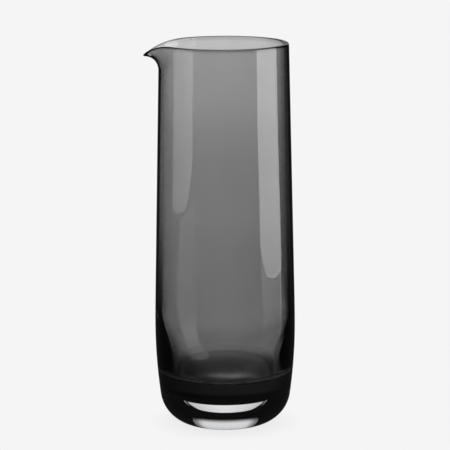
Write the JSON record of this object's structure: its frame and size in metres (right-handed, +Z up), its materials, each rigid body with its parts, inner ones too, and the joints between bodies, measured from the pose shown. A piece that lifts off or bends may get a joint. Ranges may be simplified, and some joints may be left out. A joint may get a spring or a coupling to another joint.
{
  "type": "carafe",
  "caption": "Tall glass carafe with a smoke-grey lining fused in a colourless casing, a heavy clear base, a low belly and a pulled pouring lip.",
  "frame": {"origin": "centre of the flat standing face", "axes": "+Z up along the axis of the glass, -X towards the pouring lip, +Y to the right of someone who looks along +X"},
  "size_m": [0.1021, 0.095, 0.26],
  "materials": {
    "clear_glass": "fire-polished, colourless",
    "smoke_glass": "fire-polished, smoke grey"
  },
  "bodies": {
    "root": {"clear_casing": "clear_glass", "smoke_lining": "smoke_glass"}
  },
  "joints": []
}
